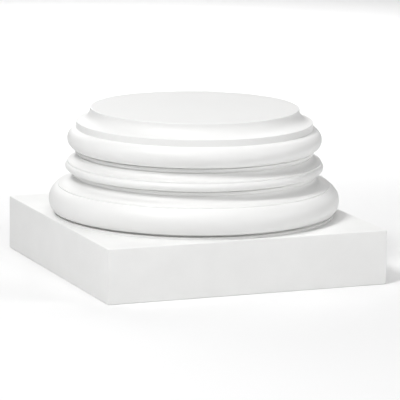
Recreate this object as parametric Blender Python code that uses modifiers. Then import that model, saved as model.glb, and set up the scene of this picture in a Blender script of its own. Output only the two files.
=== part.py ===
"""Column base: a turned moulding with two tori, a bead and two scotias, set on a square plinth.

Metres, +Z up. The origin is the middle of the plinth's underside, and the plinth's sides run along X and Y.
The turned moulding is described as a mason draws it: each member has its own height, and steps out or in
from the member beside it, so a change of one size carries through to everything that it touches.
"""
import math

import bmesh
import bpy

# Plinth
PLINTH_HEIGHT = 0.074
PLINTH_MARGIN = 0.0005  # how far the plinth's sides stand outside the widest circle of the moulding
PLINTH_EDGE = 0.0015  # rounding of the plinth's edges
PAD_HEIGHT = 0.0032  # round pad on the plinth's top, which carries the moulding
PAD_SETBACK = 0.0072  # how far the pad stands back from the widest circle of the lower torus

# Joint under the turned moulding
JOINT_GAP = 0.0003
FOOT_HEIGHT = 0.0033
FOOT_SETBACK = 0.0125  # how far the foot stands back from the widest circle of the lower torus

# Lower torus and the thin fillet on it
LOWER_TORUS_ROUND = 0.022  # radius of its section
LOWER_TORUS_OUT = 0.0125  # past the lip above it
LOWER_TORUS_UNDERCUT = 0.0051  # from its widest circle back to its lower edge
LOWER_STEP_HEIGHT = 0.0013

# Lower scotia and the fillet over it
LOWER_SCOTIA_HEIGHT = 0.0138
LOWER_SCOTIA_OUT = 0.0194  # from the fillet over it out to its lip
LOWER_SCOTIA_HOLLOW = 0.001  # how far it cuts in under that fillet
LOWER_FILLET_HEIGHT = 0.0053

# Bead between the scotias
BEAD_ROUND = 0.0056
BEAD_OUT = 0.0029  # past the lip above it
BEAD_UNDERCUT = 0.0094  # from its widest circle back to the fillet below
UPPER_STEP_HEIGHT = 0.0026

# Upper scotia and the fillet over it
UPPER_SCOTIA_HEIGHT = 0.0121
UPPER_SCOTIA_OUT = 0.0101
UPPER_SCOTIA_HOLLOW = 0.002
UPPER_FILLET_HEIGHT = 0.0044

# Upper torus
UPPER_TORUS_ROUND = 0.0147
UPPER_TORUS_OUT = 0.0121  # past the tall fillet on it
UPPER_TORUS_UNDERCUT = 0.0106  # from its widest circle back to the fillet below

# Tall fillet, cavetto and the flat seat of the shaft
TALL_FILLET_HEIGHT = 0.0095
CAVETTO_HEIGHT = 0.0173
CAVETTO_OUT = 0.019
SEAT_RADIUS = 0.1435
SEAT_EDGE_HEIGHT = 0.0015
SEAT_EDGE_ROUND = 0.001

# Facets
TURNS = 64  # sides of the turned moulding
ARRIS_ANGLE = math.radians(35)  # edges sharper than this stay crisp
PLINTH_EDGE_SEGMENTS = 2

COLLECTION_NAME = "column_base"
HELPER_COLLECTION_NAME = "column_base_helpers"
WHITE_PRIMER = (0.82, 0.82, 0.82, 1.0)
PRIMER_ROUGHNESS = 0.55


def clear_scene():
    for old in list(bpy.data.objects):
        bpy.data.objects.remove(old, do_unlink=True)


def new_collection(name):
    collection = bpy.data.collections.new(name)
    bpy.context.scene.collection.children.link(collection)
    return collection


def primed_foam(name):
    material = bpy.data.materials.new(name)
    material.use_nodes = True
    shader = material.node_tree.nodes["Principled BSDF"]
    shader.inputs["Base Color"].default_value = WHITE_PRIMER
    shader.inputs["Roughness"].default_value = PRIMER_ROUGHNESS
    shader.inputs["Metallic"].default_value = 0.0
    return material


def rise(section_radius, set_back):
    """Height from a torus's widest circle to the level where its section has gone back by set_back."""
    return math.sqrt(2 * section_radius * set_back - set_back**2)


def arc(centre, half_width, half_height, start, end, segments):
    """Points of an elliptical arc in the profile, its angles in degrees up from the outward direction."""
    points = []
    for step in range(segments + 1):
        angle = math.radians(start + (end - start) * step / segments)
        outward = centre[0] + half_width * math.cos(angle)
        upward = centre[1] + half_height * math.sin(angle)
        points.append((outward, upward))
    return points


def torus_arc(widest, level, section_radius, back_above, back_below, segments):
    """A torus's section from the member above it, round its widest circle, to the member below it."""
    start = math.degrees(math.acos((section_radius - back_above) / section_radius))
    end = -math.degrees(math.acos((section_radius - back_below) / section_radius))
    return arc((widest - section_radius, level), section_radius, section_radius, start, end, segments)


def scotia_arc(fillet_radius, fillet_level, hollow, lip_radius, lip_level):
    """A scotia's section: a tight quarter circle in under the fillet, a quarter ellipse out to the lip."""
    deepest_level = fillet_level - hollow
    tight = arc((fillet_radius, deepest_level), hollow, hollow, 90, 180, segments=3)
    reach = lip_radius - fillet_radius + hollow
    drop = deepest_level - lip_level
    return tight + arc((lip_radius, deepest_level), reach, drop, 180, 270, segments=7)[1:]


def moulding_radii():
    """Radius of each member, from the shaft's seat downwards."""
    radius = {"seat": SEAT_RADIUS}
    radius["tall_fillet"] = radius["seat"] + CAVETTO_OUT
    radius["upper_torus"] = radius["tall_fillet"] + UPPER_TORUS_OUT
    radius["upper_fillet"] = radius["upper_torus"] - UPPER_TORUS_UNDERCUT
    radius["upper_lip"] = radius["upper_fillet"] + UPPER_SCOTIA_OUT
    radius["bead"] = radius["upper_lip"] + BEAD_OUT
    radius["lower_fillet"] = radius["bead"] - BEAD_UNDERCUT
    radius["lower_lip"] = radius["lower_fillet"] + LOWER_SCOTIA_OUT
    radius["lower_torus"] = radius["lower_lip"] + LOWER_TORUS_OUT
    radius["foot"] = radius["lower_torus"] - FOOT_SETBACK
    radius["pad"] = radius["lower_torus"] - PAD_SETBACK
    return radius


def moulding_levels():
    """Level of each member, from the joint on the plinth's pad upwards."""
    level = {"foot": PLINTH_HEIGHT + PAD_HEIGHT + JOINT_GAP}
    level["lower_torus_edge"] = level["foot"] + FOOT_HEIGHT
    level["lower_torus"] = level["lower_torus_edge"] + rise(LOWER_TORUS_ROUND, LOWER_TORUS_UNDERCUT)
    level["lower_step"] = level["lower_torus"] + rise(LOWER_TORUS_ROUND, LOWER_TORUS_OUT)
    level["lower_lip"] = level["lower_step"] + LOWER_STEP_HEIGHT
    level["lower_fillet"] = level["lower_lip"] + LOWER_SCOTIA_HEIGHT
    level["bead_edge"] = level["lower_fillet"] + LOWER_FILLET_HEIGHT
    level["bead"] = level["bead_edge"] + BEAD_ROUND
    level["upper_step"] = level["bead"] + rise(BEAD_ROUND, BEAD_OUT)
    level["upper_lip"] = level["upper_step"] + UPPER_STEP_HEIGHT
    level["upper_fillet"] = level["upper_lip"] + UPPER_SCOTIA_HEIGHT
    level["upper_torus_edge"] = level["upper_fillet"] + UPPER_FILLET_HEIGHT
    level["upper_torus"] = level["upper_torus_edge"] + rise(UPPER_TORUS_ROUND, UPPER_TORUS_UNDERCUT)
    level["tall_fillet"] = level["upper_torus"] + rise(UPPER_TORUS_ROUND, UPPER_TORUS_OUT)
    level["cavetto"] = level["tall_fillet"] + TALL_FILLET_HEIGHT
    level["seat_edge"] = level["cavetto"] + CAVETTO_HEIGHT
    level["seat"] = level["seat_edge"] + SEAT_EDGE_HEIGHT
    return level


def seat_and_cavetto(radius, level):
    """The seat from the axis out to its rounded edge, then the cavetto down to the tall fillet."""
    rounding = (radius["seat"] - SEAT_EDGE_ROUND, level["seat"] - SEAT_EDGE_ROUND)
    hollow = (radius["tall_fillet"], level["seat_edge"])
    points = [(0.0, level["seat"])]
    points += arc(rounding, SEAT_EDGE_ROUND, SEAT_EDGE_ROUND, 90, 0, segments=2)
    points += arc(hollow, CAVETTO_OUT, CAVETTO_HEIGHT, 180, 270, segments=7)
    return points


def upper_members(radius, level):
    """The upper torus, hung from the tall fillet, then its fillet and scotia down to the lip."""
    points = torus_arc(
        radius["upper_torus"],
        level["upper_torus"],
        UPPER_TORUS_ROUND,
        UPPER_TORUS_OUT,
        UPPER_TORUS_UNDERCUT,
        segments=12,
    )
    points += scotia_arc(
        radius["upper_fillet"],
        level["upper_fillet"],
        UPPER_SCOTIA_HOLLOW,
        radius["upper_lip"],
        level["upper_lip"],
    )
    return points


def middle_members(radius, level):
    """The bead, then its fillet and the lower scotia down to the lip."""
    points = torus_arc(radius["bead"], level["bead"], BEAD_ROUND, BEAD_OUT, BEAD_ROUND, segments=7)
    points.append((radius["lower_fillet"], level["bead_edge"]))
    points += scotia_arc(
        radius["lower_fillet"],
        level["lower_fillet"],
        LOWER_SCOTIA_HOLLOW,
        radius["lower_lip"],
        level["lower_lip"],
    )
    return points


def lower_members(radius, level):
    """The lower torus, its flat underside, and the foot down to the joint."""
    points = torus_arc(
        radius["lower_torus"],
        level["lower_torus"],
        LOWER_TORUS_ROUND,
        LOWER_TORUS_OUT,
        LOWER_TORUS_UNDERCUT,
        segments=10,
    )
    points.append((radius["foot"], level["lower_torus_edge"]))
    points.append((radius["foot"], level["foot"]))
    points.append((0.0, level["foot"]))
    return points


def moulding_profile():
    """Half section of the turned moulding as (radius, level) points, down its outer side."""
    radius = moulding_radii()
    level = moulding_levels()
    return (
        seat_and_cavetto(radius, level)
        + upper_members(radius, level)
        + middle_members(radius, level)
        + lower_members(radius, level)
    )


def turned_mesh(name, profile, collection):
    """Carries a half section round the axis with a Screw, and keeps its arrises crisp."""
    outline = bpy.data.meshes.new(name + "_outline")
    points = [(radius, 0.0, level) for radius, level in profile]
    outline.from_pydata(points, [(index, index + 1) for index in range(len(points) - 1)], [])
    lathe = bpy.data.objects.new(name + "_lathe", outline)
    collection.objects.link(lathe)
    screw = lathe.modifiers.new("Turned", "SCREW")
    screw.axis = "Z"
    screw.steps = TURNS
    screw.render_steps = TURNS
    screw.use_merge_vertices = True
    screw.merge_threshold = 0.0001
    evaluated = lathe.evaluated_get(bpy.context.evaluated_depsgraph_get())
    turned = bpy.data.meshes.new_from_object(evaluated)
    turned.name = name
    bpy.data.objects.remove(lathe, do_unlink=True)
    bpy.data.meshes.remove(outline)
    turned.shade_smooth()
    turned.set_sharp_from_angle(angle=ARRIS_ANGLE)
    return turned


def add_base_moulding(collection):
    """The turned moulding that stands on the plinth and carries the shaft."""
    mesh = turned_mesh("base_moulding", moulding_profile(), collection)
    mesh.materials.append(primed_foam("primed_foam_moulding"))
    moulding = bpy.data.objects.new("base_moulding", mesh)
    collection.objects.link(moulding)
    return moulding


def add_pad(collection):
    """The round pad, as a helper that runs down into the block, so that a union makes one body of them."""
    depth = PAD_HEIGHT + PLINTH_HEIGHT / 2
    pad_radius = moulding_radii()["pad"]
    mesh = bpy.data.meshes.new("pad")
    disc = bmesh.new()
    bmesh.ops.create_cone(
        disc, cap_ends=True, segments=TURNS, radius1=pad_radius, radius2=pad_radius, depth=depth
    )
    bmesh.ops.translate(disc, vec=(0.0, 0.0, PLINTH_HEIGHT + PAD_HEIGHT - depth / 2), verts=disc.verts)
    disc.to_mesh(mesh)
    disc.free()
    pad = bpy.data.objects.new("pad", mesh)
    pad.hide_render = True
    pad.display_type = "WIRE"
    collection.objects.link(pad)
    return pad


def add_plinth(collection, pad):
    """The square block under the moulding, a little wider than its widest circle, with the pad on its top."""
    side = 2 * (moulding_radii()["lower_torus"] + PLINTH_MARGIN)
    mesh = bpy.data.meshes.new("plinth")
    block = bmesh.new()
    bmesh.ops.create_cube(block, size=1.0)
    bmesh.ops.scale(block, vec=(side, side, PLINTH_HEIGHT), verts=block.verts)
    bmesh.ops.translate(block, vec=(0.0, 0.0, PLINTH_HEIGHT / 2), verts=block.verts)
    block.to_mesh(mesh)
    block.free()
    mesh.materials.append(primed_foam("primed_foam_plinth"))
    plinth = bpy.data.objects.new("plinth", mesh)
    collection.objects.link(plinth)
    eased = plinth.modifiers.new("Eased edges", "BEVEL")
    eased.width = PLINTH_EDGE
    eased.segments = PLINTH_EDGE_SEGMENTS
    eased.limit_method = "ANGLE"
    with_pad = plinth.modifiers.new("With the pad", "BOOLEAN")
    with_pad.operation = "UNION"
    with_pad.object = pad
    return plinth


clear_scene()
column_base = new_collection(COLLECTION_NAME)
helpers = new_collection(HELPER_COLLECTION_NAME)
add_plinth(column_base, add_pad(helpers))
add_base_moulding(column_base)
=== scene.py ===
# %% [markdown]
# # A moulded column base
#
# The object is the foot of a classical column, made for the building trade as a light decorative moulding.
# A square block, the plinth, lies on the floor. On it stands a round moulding with, from below upwards, a
# large torus, a scotia, a bead, a second scotia, an upper torus, a tall fillet and a cavetto. The flat top is
# the seat of the shaft. Under the large torus runs a dark joint, where the moulding stands on a thin round
# pad on the plinth. Both pieces are rigid polyurethane foam, cast in a mould and coated with white primer.
#
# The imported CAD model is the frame. It has the true shapes in plain facets. This script gives it the look of
# the real thing: finely turned members, arrises softened by the primer, the primer's skin, and studio light.

# %% Load the frame
import math

import bmesh
import bpy
from mathutils import Matrix, Vector


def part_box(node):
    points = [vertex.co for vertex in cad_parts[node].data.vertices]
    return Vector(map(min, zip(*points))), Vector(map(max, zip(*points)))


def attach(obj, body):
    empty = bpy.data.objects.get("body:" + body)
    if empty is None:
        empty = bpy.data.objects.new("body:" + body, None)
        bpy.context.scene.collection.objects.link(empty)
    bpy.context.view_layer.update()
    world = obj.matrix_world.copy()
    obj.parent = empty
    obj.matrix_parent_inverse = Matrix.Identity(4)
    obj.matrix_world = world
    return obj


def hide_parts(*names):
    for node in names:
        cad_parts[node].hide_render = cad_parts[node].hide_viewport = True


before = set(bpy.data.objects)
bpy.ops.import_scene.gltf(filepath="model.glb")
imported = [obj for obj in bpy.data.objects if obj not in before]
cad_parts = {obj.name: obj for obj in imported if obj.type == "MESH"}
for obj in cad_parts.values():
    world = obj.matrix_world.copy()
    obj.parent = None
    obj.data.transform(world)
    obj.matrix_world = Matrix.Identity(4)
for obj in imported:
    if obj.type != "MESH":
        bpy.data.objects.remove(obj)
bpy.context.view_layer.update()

# %% [markdown]
# ## The camera
#
# The picture was taken with a long lens from the front left and a little above, so the plinth's sides hardly
# converge. The camera could be turned by eye until the corners fit. Here its place comes from a fit of the
# plinth's corners and the circles of the moulding, because those give the angle, the height and the lens
# together. The object stands off the middle of the picture, which a step to the side puts right, so that no
# lens shift is needed.

# %% Place the camera
PICTURE_PIXELS = 400
SENSOR_WIDTH = 36.0
FOCAL_PIXELS = 3233.0
CAMERA_AZIMUTH = math.radians(-22.11)
CAMERA_PITCH = math.radians(10.706)
CAMERA_ROLL = math.radians(0.646)
CAMERA_DISTANCE = 4.4672
CAMERA_STEP_RIGHT = 0.0094
CAMERA_STEP_UP = 0.0901


def place_camera():
    """The photograph's camera, with its back, right and up directions worked out from its three angles."""
    level_back = Vector((math.sin(CAMERA_AZIMUTH), -math.cos(CAMERA_AZIMUTH), 0.0))
    back = level_back * math.cos(CAMERA_PITCH) + Vector((0.0, 0.0, math.sin(CAMERA_PITCH)))
    right = Vector((math.cos(CAMERA_AZIMUTH), math.sin(CAMERA_AZIMUTH), 0.0))
    up = back.cross(right)
    turn = Matrix.Rotation(CAMERA_ROLL, 3, back)
    right = turn @ right
    up = turn @ up
    place = back * CAMERA_DISTANCE + right * CAMERA_STEP_RIGHT + up * CAMERA_STEP_UP
    camera = bpy.data.objects.new("photograph_camera", bpy.data.cameras.new("photograph_camera"))
    bpy.context.scene.collection.objects.link(camera)
    camera.matrix_world = Matrix.Translation(place) @ Matrix((right, up, back)).transposed().to_4x4()
    camera.data.sensor_width = SENSOR_WIDTH
    camera.data.lens = FOCAL_PIXELS * SENSOR_WIDTH / PICTURE_PIXELS
    camera.data.clip_start = 0.1
    camera.data.clip_end = 60.0
    return camera


bpy.context.scene.camera = place_camera()
print("lens, mm:", round(bpy.context.scene.camera.data.lens, 1))

# %% [markdown]
# ## The section of the moulding
#
# The real moulding began as a turned pattern: a board with the section cut into it was swept round an axis.
# It could be stacked up from rings and tubes, but then every joint between them would need mending. One
# section, drawn from the seat down its outer side to the joint, carries all the members and their exact
# meeting points. The pen below draws it with operators: a corner is a vertex extruded from the last one, and
# a rounded member is that vertex spun round the member's centre. A scotia or cavetto that is wider than it
# is high is spun as a quarter circle and then scaled down about its centre. A point list typed in by hand
# would be shorter, but a changed member would then leave all the others behind.

# %% A pen for the section
AXIS_OF_PEN = (0.0, 1.0, 0.0)


def start_at(section, radius, level):
    return section.verts.new((radius, 0.0, level))


def line_to(section, last, radius, level):
    made = bmesh.ops.extrude_vert_indiv(section, verts=[last])
    made["verts"][0].co = (radius, 0.0, level)
    return made["verts"][0]


def turn_round(section, last, centre, degrees, steps, height_share=1.0):
    """Carries the last vertex round a centre. A height share under one makes the arc an ellipse's."""
    known = set(section.verts)
    turned = bmesh.ops.spin(
        section,
        geom=[last],
        cent=(centre[0], 0.0, centre[1]),
        axis=AXIS_OF_PEN,
        angle=math.radians(degrees),
        steps=steps,
        use_merge=False,
    )
    if height_share != 1.0:
        fresh = [vert for vert in section.verts if vert not in known]
        about_centre = Matrix.Translation((-centre[0], 0.0, -centre[1]))
        bmesh.ops.scale(section, vec=(1.0, 1.0, height_share), space=about_centre, verts=fresh)
    return turned["geom_last"][0]


# %% [markdown]
# ## The sizes of the members
#
# The sizes are in metres. Each member has its own height and steps out or in from the one beside it, as in
# an order book. The members are those of the CAD model. Only the quirks are new: narrow grooves over and
# under each small fillet, one to three millimetres high and up to two and a half deep. They set the members
# apart, and they draw the fine double lines that are seen under the upper torus and under the bead.

# %% Sizes of the members
FOOT_HEIGHT = 0.0033
FOOT_SETBACK = 0.0125
LOWER_TORUS_ROUND = 0.022
LOWER_TORUS_OUT = 0.0125
LOWER_TORUS_UNDERCUT = 0.0051
LOWER_STEP_HEIGHT = 0.0013
LOWER_SCOTIA_HEIGHT = 0.0138
LOWER_SCOTIA_OUT = 0.0194
LOWER_SCOTIA_HOLLOW = 0.001
LOWER_FILLET_HEIGHT = 0.0053
BEAD_ROUND = 0.0056
BEAD_OUT = 0.0029
BEAD_UNDERCUT = 0.0094
UPPER_STEP_HEIGHT = 0.0026
UPPER_SCOTIA_HEIGHT = 0.0121
UPPER_SCOTIA_OUT = 0.0101
UPPER_SCOTIA_HOLLOW = 0.002
UPPER_FILLET_HEIGHT = 0.0044
UPPER_TORUS_ROUND = 0.0147
UPPER_TORUS_OUT = 0.0121
UPPER_TORUS_UNDERCUT = 0.0106
TALL_FILLET_HEIGHT = 0.0095
CAVETTO_HEIGHT = 0.0173
CAVETTO_OUT = 0.019
SEAT_RADIUS = 0.1435
SEAT_EDGE_HEIGHT = 0.0015
SEAT_EDGE_ROUND = 0.001

# %% Sizes of the quirks
# The upper torus ends this much farther out than on the CAD model, as the quirk's upper lip
UPPER_QUIRK_LIP = 0.0019
UPPER_QUIRK_HEIGHT = 0.0015
UPPER_QUIRK_DEPTH = 0.0025
UPPER_SCOTIA_QUIRK_HEIGHT = 0.0028
UPPER_SCOTIA_QUIRK_DEPTH = 0.0016
LOWER_QUIRK_HEIGHT = 0.0018
LOWER_QUIRK_DEPTH = 0.0025
LOWER_SCOTIA_QUIRK_HEIGHT = 0.0018
LOWER_SCOTIA_QUIRK_DEPTH = 0.0006


# %% Draw the members
RISER_STEP = 0.0015


def rise(section_radius, set_back):
    """Height from a torus's widest circle to the level where its section has gone back by set_back."""
    return math.sqrt(2 * section_radius * set_back - set_back**2)


def back_angle(section_radius, set_back):
    """Angle up from the widest circle at which a torus's section has gone back by set_back, in degrees."""
    return math.degrees(math.acos((section_radius - set_back) / section_radius))


def torus(section, last, section_radius, set_back_above, set_back_below, steps):
    """A torus's section, from where the member above meets it, round and in to the member below."""
    above = back_angle(section_radius, set_back_above)
    below = back_angle(section_radius, set_back_below)
    centre_radius = last.co.x + set_back_above - section_radius
    centre_level = last.co.z - rise(section_radius, set_back_above)
    return turn_round(section, last, (centre_radius, centre_level), above + below, steps)


def quirk(section, last, radius_below, height, depth):
    """A narrow groove: in past the face below, down, and out again to that face."""
    last = line_to(section, last, radius_below - depth, last.co.z)
    last = line_to(section, last, last.co.x, last.co.z - height)
    return line_to(section, last, radius_below, last.co.z)


def scotia(section, last, hollow, out, height):
    """A scotia's section: a wide quarter round from its back wall out to the lip."""
    reach = out + hollow
    share = height / reach
    return turn_round(section, last, (last.co.x + reach, last.co.z), -90.0, steps=18, height_share=share)


def riser(section, last, height):
    """An upright face, with a vertex at each step, so that the shading stays crisp beside its arrises."""
    steps = max(1, round(height / RISER_STEP))
    top = last.co.z
    for step in range(1, steps + 1):
        last = line_to(section, last, last.co.x, top - height * step / steps)
    return last


# %% [markdown]
# ## Down the moulding
#
# The pen now follows the moulding down from its seat. Where the upper torus and the bead turn in, the radius
# of the fillet under them is worked out first, because the quirk is cut back from that face. On flat faces a
# few extra rings near the edge keep the middle flat in the shading.

# %% Draw the section
INNER_RINGS = (0.07, 0.12)
RINGS_IN_FROM_THE_EDGE = (0.004, 0.002)
UNDERSIDE_SHARES = (0.15, 0.5, 0.85, 1.0)


def draw_section(seat_level):
    section = bmesh.new()
    last = start_at(section, 0.0, seat_level)
    for radius in INNER_RINGS:
        last = line_to(section, last, radius, seat_level)
    for inward in RINGS_IN_FROM_THE_EDGE:
        last = line_to(section, last, SEAT_RADIUS - inward, seat_level)
    last = line_to(section, last, SEAT_RADIUS - SEAT_EDGE_ROUND, seat_level)
    last = turn_round(section, last, (last.co.x, last.co.z - SEAT_EDGE_ROUND), 90.0, steps=5)
    last = line_to(section, last, SEAT_RADIUS, seat_level - SEAT_EDGE_HEIGHT)
    cavetto_centre = (SEAT_RADIUS + CAVETTO_OUT, last.co.z)
    last = turn_round(section, last, cavetto_centre, -90.0, 22, height_share=CAVETTO_HEIGHT / CAVETTO_OUT)
    last = riser(section, last, TALL_FILLET_HEIGHT)
    fillet_radius = last.co.x + UPPER_TORUS_OUT - UPPER_TORUS_UNDERCUT
    torus_end = UPPER_TORUS_UNDERCUT - UPPER_QUIRK_LIP
    lead = rise(UPPER_TORUS_ROUND, UPPER_TORUS_UNDERCUT) - rise(UPPER_TORUS_ROUND, torus_end)
    last = torus(section, last, UPPER_TORUS_ROUND, UPPER_TORUS_OUT, torus_end, steps=32)
    last = quirk(section, last, fillet_radius, UPPER_QUIRK_HEIGHT, UPPER_QUIRK_DEPTH)
    last = riser(section, last, UPPER_FILLET_HEIGHT + lead - UPPER_QUIRK_HEIGHT)
    wall = fillet_radius - UPPER_SCOTIA_HOLLOW
    last = quirk(section, last, wall, UPPER_SCOTIA_QUIRK_HEIGHT, UPPER_SCOTIA_QUIRK_DEPTH)
    sweep = UPPER_SCOTIA_HEIGHT - UPPER_SCOTIA_QUIRK_HEIGHT
    last = scotia(section, last, UPPER_SCOTIA_HOLLOW, UPPER_SCOTIA_OUT, sweep)
    last = riser(section, last, UPPER_STEP_HEIGHT)
    last = torus(section, last, BEAD_ROUND, BEAD_OUT, BEAD_ROUND, steps=18)
    fillet_radius = last.co.x - BEAD_UNDERCUT + BEAD_ROUND
    last = quirk(section, last, fillet_radius, LOWER_QUIRK_HEIGHT, LOWER_QUIRK_DEPTH)
    last = riser(section, last, LOWER_FILLET_HEIGHT - LOWER_QUIRK_HEIGHT)
    wall = fillet_radius - LOWER_SCOTIA_HOLLOW
    last = quirk(section, last, wall, LOWER_SCOTIA_QUIRK_HEIGHT, LOWER_SCOTIA_QUIRK_DEPTH)
    sweep = LOWER_SCOTIA_HEIGHT - LOWER_SCOTIA_QUIRK_HEIGHT
    last = scotia(section, last, LOWER_SCOTIA_HOLLOW, LOWER_SCOTIA_OUT, sweep)
    last = riser(section, last, LOWER_STEP_HEIGHT)
    last = torus(section, last, LOWER_TORUS_ROUND, LOWER_TORUS_OUT, LOWER_TORUS_UNDERCUT, steps=30)
    edge_radius = last.co.x
    foot_radius = edge_radius + LOWER_TORUS_UNDERCUT - FOOT_SETBACK
    for share in UNDERSIDE_SHARES:
        last = line_to(section, last, edge_radius + (foot_radius - edge_radius) * share, last.co.z)
    last = riser(section, last, FOOT_HEIGHT)
    for radius in (foot_radius - RINGS_IN_FROM_THE_EDGE[-1], INNER_RINGS[-1], 0.0):
        last = line_to(section, last, radius, last.co.z)
    return section


seat_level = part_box("base_moulding")[1].z
section = draw_section(seat_level)
foot_level = min(vert.co.z for vert in section.verts)
widest = max(vert.co.x for vert in section.verts)
print("section:", len(section.verts), "points")
print("from", round(seat_level * 1000, 2), "mm down to", round(foot_level * 1000, 2), "mm")
print("widest circle, mm:", round(widest * 1000, 2))

# %% [markdown]
# ## Turning the moulding
#
# A Screw modifier would turn the section too, but a bmesh spin leaves a plain mesh whose rings can be
# picked out straight away. A full turn needs use_merge, so that its last ring is its first one. The points
# on the axis come out once for every step, and are merged before the normals are worked out.

# %% Turn the section round the axis
TURN_STEPS = 360
MERGE_DISTANCE = 1e-6


def turn_section(section):
    bmesh.ops.spin(
        section,
        geom=section.verts[:] + section.edges[:],
        cent=(0.0, 0.0, 0.0),
        axis=(0.0, 0.0, 1.0),
        angle=math.tau,
        steps=TURN_STEPS,
        use_merge=True,
    )
    bmesh.ops.remove_doubles(section, verts=section.verts, dist=MERGE_DISTANCE)
    bmesh.ops.recalc_face_normals(section, faces=section.faces)
    return section


moulding_shape = turn_section(section)
print("turned:", len(moulding_shape.faces), "faces")

# %% [markdown]
# ## Soft arrises
#
# On the real piece no arris is knife sharp. The foam fills the mould's edges to a few tenths of a millimetre,
# and the primer lies a little thicker in the inner corners. A Bevel modifier would do it on every render,
# but the rings that need it are known here: those whose two faces meet at more than 25 degrees.

# %% Soften the arrises of the moulding
ARRIS_SOFTNESS = 0.0004
ARRIS_ANGLE = math.radians(25)


def soften(shape, width, segments):
    """Rounds every edge of a shape whose faces meet at more than the arris angle."""
    sharp = [edge for edge in shape.edges if edge.is_manifold and edge.calc_face_angle() > ARRIS_ANGLE]
    bmesh.ops.bevel(
        shape,
        geom=sharp,
        offset=width,
        offset_type="OFFSET",
        affect="EDGES",
        segments=segments,
        profile=0.5,
        material=-1,
        clamp_overlap=True,
    )
    return len(sharp)


softened = soften(moulding_shape, ARRIS_SOFTNESS, segments=2)
print("softened edges:", softened, "of rings:", softened / TURN_STEPS)

# %% [markdown]
# ## From shape to piece
#
# A finished piece is an object at the origin, its place held in its mesh, as the CAD nodes are. It rides on
# the CAD body, and says which CAD node it stands for.

# %% Make a piece of a shape
SMOOTH_ANGLE = math.radians(50)


def piece_of(name, shape, node):
    mesh = bpy.data.meshes.new(name)
    shape.to_mesh(mesh)
    shape.free()
    mesh.shade_smooth()
    mesh.set_sharp_from_angle(angle=SMOOTH_ANGLE)
    piece = bpy.data.objects.new(name, mesh)
    bpy.context.scene.collection.objects.link(piece)
    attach(piece, "root")
    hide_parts(node)
    triangles = sum(len(polygon.vertices) - 2 for polygon in mesh.polygons)
    print(name, "stands for", node, "with", triangles, "triangles")
    return piece


turned_moulding = piece_of("turned_moulding", moulding_shape, "base_moulding")

# %% [markdown]
# ## The plinth
#
# The plinth is a block of the same foam, with plain upright sides. Its edges are rounder than the moulding's,
# because a block's long edges are eased when it leaves the mould. On its top lies the thin round pad that
# carries the moulding. A cube with a bevel gives the block, and the bevel's extra loops keep the big flat
# faces flat in the shading. The pad is a short cylinder sunk a little into the block. A boolean would join
# the two into one skin, but the sunk part is never seen, so the pad is simply put in the same mesh.

# %% Make the plinth
PLINTH_HEIGHT = 0.074
PLINTH_EDGE = 0.0014
PLINTH_EDGE_SEGMENTS = 4
PAD_SETBACK = 0.0072
PAD_SUNK = 0.002


def plinth_shape(low, high):
    shape = bmesh.new()
    bmesh.ops.create_cube(shape, size=1.0)
    bmesh.ops.scale(shape, vec=(high.x - low.x, high.y - low.y, PLINTH_HEIGHT), verts=shape.verts)
    bmesh.ops.translate(shape, vec=(0.0, 0.0, low.z + PLINTH_HEIGHT / 2), verts=shape.verts)
    soften(shape, PLINTH_EDGE, PLINTH_EDGE_SEGMENTS)
    return shape


def pad_shape(radius, top):
    """The round pad, from its top down to a little below the block's top."""
    shape = bmesh.new()
    depth = top - PLINTH_HEIGHT + PAD_SUNK
    bmesh.ops.create_cone(
        shape, cap_ends=True, segments=TURN_STEPS, radius1=radius, radius2=radius, depth=depth
    )
    bmesh.ops.translate(shape, vec=(0.0, 0.0, top - depth / 2), verts=shape.verts)
    soften(shape, ARRIS_SOFTNESS, segments=2)
    return shape


def add_shape(target, extra):
    """Copies the second shape into the first one."""
    carrier = bpy.data.meshes.new("carrier")
    extra.to_mesh(carrier)
    extra.free()
    target.from_mesh(carrier)
    bpy.data.meshes.remove(carrier)


plinth_low, plinth_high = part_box("plinth")
block_shape = plinth_shape(plinth_low, plinth_high)
add_shape(block_shape, pad_shape(widest - PAD_SETBACK, plinth_high.z))
eased_plinth = piece_of("eased_plinth", block_shape, "plinth")

# %% [markdown]
# ## White primer on rigid foam
#
# Such mouldings leave the factory with a sprayed white acrylic primer. It gives the eye an even, bright,
# eggshell white: no grain of its own, a broad soft sheen, and a skin that is a little uneven, like very fine
# orange peel. An image could hold that, but a few noise nodes on the object's own coordinates give it at any
# distance and have no seam. The plinth's plain sides show the unevenness of the coat more than the mouldings
# do, so its two whites are a little further apart.

# %% Helpers for materials
def linear(hex_colour):
    """A colour from its sRGB hex value, as Blender's linear red, green, blue and alpha."""
    channels = [int(hex_colour[place:place + 2], 16) / 255 for place in (1, 3, 5)]
    straight = [c / 12.92 if c <= 0.04045 else ((c + 0.055) / 1.055) ** 2.4 for c in channels]
    return (*straight, 1.0)


def add_node(material, kind, settings=None, inputs=None):
    """Adds a node with its settings. An input, by name or number, is given a value or joined to a socket."""
    node = material.node_tree.nodes.new(kind)
    for name, value in (settings or {}).items():
        setattr(node, name, value)
    for name, value in (inputs or {}).items():
        if isinstance(value, bpy.types.NodeSocket):
            material.node_tree.links.new(value, node.inputs[name])
        else:
            node.inputs[name].default_value = value
    return node


# %% White primer
PRIMER_IOR = 1.5
PEEL_WIDTH = 0.0012
PEEL_DEPTH = 0.00001
CLOUD_WIDTH = 0.035
SHEEN_SPREAD = 0.03


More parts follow.
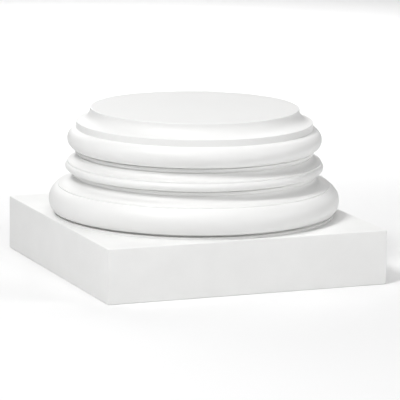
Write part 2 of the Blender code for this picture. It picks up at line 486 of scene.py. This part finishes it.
def white_primer(name, light, dark, roughness):
    """Sprayed acrylic primer on cast polyurethane foam: eggshell white with a fine uneven skin."""
    material = bpy.data.materials.new(name)
    material.use_nodes = True
    shader = material.node_tree.nodes["Principled BSDF"]
    shader.inputs["IOR"].default_value = PRIMER_IOR
    shader.inputs["Metallic"].default_value = 0.0
    place = add_node(material, "ShaderNodeTexCoord").outputs["Object"]
    # Clouds about 35 mm wide, where the coat is a little thicker or thinner
    clouds = add_node(
        material,
        "ShaderNodeTexNoise",
        inputs={"Vector": place, "Scale": 1 / CLOUD_WIDTH, "Detail": 3.0, "Roughness": 0.55},
    )
    cloud = clouds.outputs["Fac"]
    coat = add_node(
        material, "ShaderNodeMix", {"data_type": "RGBA"}, {0: cloud, 6: linear(dark), 7: linear(light)}
    )
    material.node_tree.links.new(coat.outputs[2], shader.inputs["Base Color"])
    sheen = add_node(
        material,
        "ShaderNodeMapRange",
        inputs={"Value": cloud, "To Min": roughness - SHEEN_SPREAD, "To Max": roughness + SHEEN_SPREAD},
    )
    material.node_tree.links.new(sheen.outputs["Result"], shader.inputs["Roughness"])
    # Orange peel 1.2 mm wide and a hundredth of a millimetre deep
    peel = add_node(
        material,
        "ShaderNodeTexNoise",
        inputs={"Vector": place, "Scale": 1 / PEEL_WIDTH, "Detail": 2.0, "Roughness": 0.5},
    )
    skin = add_node(
        material,
        "ShaderNodeBump",
        inputs={"Strength": 1.0, "Distance": PEEL_DEPTH, "Height": peel.outputs["Fac"]},
    )
    material.node_tree.links.new(skin.outputs["Normal"], shader.inputs["Normal"])
    return material


moulding_primer = white_primer("white_primer_moulding", "#F4F4F3", "#F2F2F1", 0.5)
plinth_primer = white_primer("white_primer_plinth", "#F6F6F5", "#EFEFEE", 0.55)
turned_moulding.data.materials.append(moulding_primer)
eased_plinth.data.materials.append(plinth_primer)

# %% [markdown]
# ## Floor
#
# The object stands on plain matt paper. The paper is nearly white, so that it throws light back under the
# members. A white world could stand for it, but then nothing would catch the shadow at the right.

# %% Lay the floor
FLOOR_SIDE = 16.0
FLOOR_ROUGHNESS = 0.9


def plain_floor():
    shape = bmesh.new()
    bmesh.ops.create_grid(shape, x_segments=1, y_segments=1, size=FLOOR_SIDE / 2)
    mesh = bpy.data.meshes.new("floor")
    shape.to_mesh(mesh)
    shape.free()
    floor = bpy.data.objects.new("floor", mesh)
    bpy.context.scene.collection.objects.link(floor)
    material = bpy.data.materials.new("matt_white_floor_paper")
    material.use_nodes = True
    shader = material.node_tree.nodes["Principled BSDF"]
    shader.inputs["Base Color"].default_value = linear("#F4F4F4")
    shader.inputs["Roughness"].default_value = FLOOR_ROUGHNESS
    mesh.materials.append(material)
    return floor


plain_floor()

# %% [markdown]
# ## Studio light
#
# White on white is drawn by light alone, so the lamps were placed by what the real shades say. The upright
# faces at the left and the tops are bright, and the undersides are dark there: the key softbox stands at the
# left, half way up. The plinth's right side is as bright as its left one, but the right ends of the scotias
# are dark: a weaker, low softbox lights that side. A faint one in front opens the joint and the scotias. Four
# lamps above and behind lift the seat and the plinth's top, and hardly touch the upright faces. One even dome
# would be simpler, but it fills every groove, and the members lose their edges.
#
# Paper behind an object falls off to grey. A big lamp with a grid, straight above it, whitens it again, and
# the grid keeps nearly all of that light off the object.

# %% Two kinds of lamp
SOFTBOX_DISTANCE = 3.0
SOFTBOX_SIDE = 0.8
LARGE_SOFTBOX_SIDE = 1.3
AIM_HEIGHT = 0.1
PAPER_LIGHT_SPREAD = math.radians(60)


def soft_light(name, azimuth, elevation, watts, side=SOFTBOX_SIDE):
    """A square softbox that faces the object. Azimuth 0 is in front, and a negative one is to the left."""
    turn = math.radians(azimuth)
    lift = math.radians(elevation)
    away = Vector((math.sin(turn) * math.cos(lift), -math.cos(turn) * math.cos(lift), math.sin(lift)))
    lamp = bpy.data.lights.new(name, "AREA")
    lamp.shape = "SQUARE"
    lamp.size = side
    lamp.energy = watts
    box = bpy.data.objects.new(name, lamp)
    box.location = away * SOFTBOX_DISTANCE + Vector((0.0, 0.0, AIM_HEIGHT))
    box.rotation_mode = "QUATERNION"
    box.rotation_quaternion = away.to_track_quat("Z", "Y")
    bpy.context.scene.collection.objects.link(box)
    return box


def paper_light(azimuth, reach, height, side, watts):
    """A big gridded lamp over the paper behind the object. It faces down, and hardly lights the object."""
    turn = math.radians(azimuth)
    lamp = bpy.data.lights.new("paper_light", "AREA")
    lamp.shape = "SQUARE"
    lamp.size = side
    lamp.energy = watts
    lamp.spread = PAPER_LIGHT_SPREAD
    box = bpy.data.objects.new("paper_light", lamp)
    box.location = (math.sin(turn) * reach, -math.cos(turn) * reach, height)
    bpy.context.scene.collection.objects.link(box)
    return box


# %% Place the lamps
def studio_world(strength):
    world = bpy.data.worlds.new("white_studio")
    bpy.context.scene.world = world
    world.use_nodes = True
    backdrop = world.node_tree.nodes["Background"]
    backdrop.inputs["Color"].default_value = (1.0, 1.0, 1.0, 1.0)
    backdrop.inputs["Strength"].default_value = strength


soft_light("key_softbox", azimuth=-58, elevation=50, watts=55)
soft_light("front_fill", azimuth=-20, elevation=26, watts=6)
soft_light("right_fill", azimuth=52, elevation=20, watts=22)
soft_light("top_light", azimuth=20, elevation=72, watts=10)
soft_light("left_top_light", azimuth=-112, elevation=78, watts=12)
soft_light("back_right_light", azimuth=135, elevation=50, watts=16, side=LARGE_SOFTBOX_SIDE)
soft_light("back_light", azimuth=180, elevation=24, watts=16, side=LARGE_SOFTBOX_SIDE)
paper_light(azimuth=158, reach=2.0, height=2.0, side=2.0, watts=12)
studio_world(strength=0.04)
lamps = [item for item in bpy.data.objects if item.type == "LIGHT"]
print("lamps:", len(lamps), "watts:", round(sum(lamp.data.energy for lamp in lamps)))

# %% [markdown]
# ## Finish
#
# The Standard view keeps whites white. A film-like one would grey them.

# %% View and finish
bpy.context.scene.view_settings.view_transform = "Standard"
